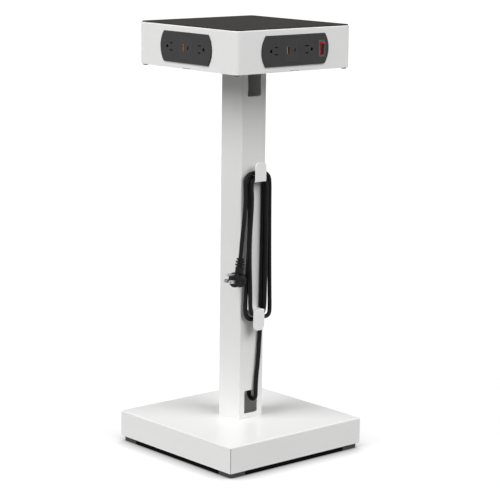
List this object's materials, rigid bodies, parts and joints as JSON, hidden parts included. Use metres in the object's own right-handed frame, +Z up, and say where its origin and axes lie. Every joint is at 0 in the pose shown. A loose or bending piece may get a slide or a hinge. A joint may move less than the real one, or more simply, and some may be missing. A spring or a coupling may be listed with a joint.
{
  "type": "charging tower",
  "caption": "Free-standing charging tower: a square head with outlets and USB ports in each side on a square post, weighted square base, cord hooks, coiled cord with plug.",
  "frame": {"origin": "on the floor, under the centre of the square base", "axes": "+Z up along the post, -Y is the front: the side with the switch, the cord hooks and the cable slots, +X is to the right seen from the front"},
  "size_m": [0.32, 0.32, 0.7952],
  "materials": {
    "white_steel": "white powder coat, satin gloss",
    "dark_laminate": "dark charcoal laminate, fine satin texture",
    "zinc_steel": "zinc plated",
    "screw_steel": "zinc plated, dome head",
    "cast_ballast": "plain cast ballast",
    "black_plastic": "dark grey moulded plastic, satin",
    "housing_plastic": "black moulded plastic",
    "port_steel": "nickel plated",
    "orange_plastic": "orange moulded plastic",
    "contact_brass": "bare",
    "blade_brass": "nickel flashed, worn",
    "grey_plastic": "dark grey, polished",
    "red_lens": "translucent red moulding",
    "smoked_lens": "dark smoked red moulding",
    "board": "circuit board with components",
    "cord_jacket": "black vinyl jacket, satin",
    "rubber": "black rubber",
    "plug_vinyl": "moulded black vinyl"
  },
  "bodies": {
    "tower": {"ballast_plate": "cast_ballast", "base_cover": "white_steel", "base_plate": "zinc_steel", "base_plinth": "black_plastic", "contacts": "contact_brass", "control_board": "board", "cord_clamp": "housing_plastic", "cord_feed": "cord_jacket", "cord_hank": "cord_jacket", "cord_riser": "cord_jacket", "cord_tail": "cord_jacket", "corner_brackets": "zinc_steel", "faceplate_back": "black_plastic", "faceplate_front": "black_plastic", "faceplate_left": "black_plastic", "faceplate_right": "black_plastic", "foot_1": "rubber", "foot_2": "rubber", "foot_3": "rubber", "foot_4": "rubber", "foot_plate_bolts": "zinc_steel", "foot_screws": "zinc_steel", "grommet": "rubber", "head_bottom_cover": "zinc_steel", "head_screws": "screw_steel", "head_shell": "white_steel", "junction_box": "housing_plastic", "junction_lid": "housing_plastic", "lower_hook": "white_steel", "module_housing_back": "housing_plastic", "module_housing_front": "housing_plastic", "module_housing_left": "housing_plastic", "module_housing_right": "housing_plastic", "plug_blades": "blade_brass", "plug_body": "plug_vinyl", "plug_ground_pin": "blade_brass", "plug_strain_relief": "plug_vinyl", "post_foot_plate": "zinc_steel", "post_top_plate": "zinc_steel", "post_tube": "white_steel", "receptacles_back": "black_plastic", "receptacles_front": "black_plastic", "receptacles_left": "black_plastic", "receptacles_right": "black_plastic", "switch_bezel": "grey_plastic", "switch_body": "housing_plastic", "top_panel": "dark_laminate", "top_plate_bolts": "zinc_steel", "upper_hook": "white_steel", "usb_a_tongues": "orange_plastic", "usb_insert_back": "black_plastic", "usb_insert_front": "black_plastic", "usb_insert_left": "black_plastic", "usb_insert_right": "black_plastic", "usb_shells": "port_steel", "wiring_harness": "cord_jacket"},
    "rocker": {"switch_rocker": "red_lens", "rocker_window": "smoked_lens"}
  },
  "joints": [
    {"name": "rocker_tilt", "type": "hinge", "parent": "tower", "child": "rocker", "pos_m": [0.0616, -0.1378, 0.7552], "axis": [-1, 0, 0], "range_deg": [0, 12]}
  ]
}
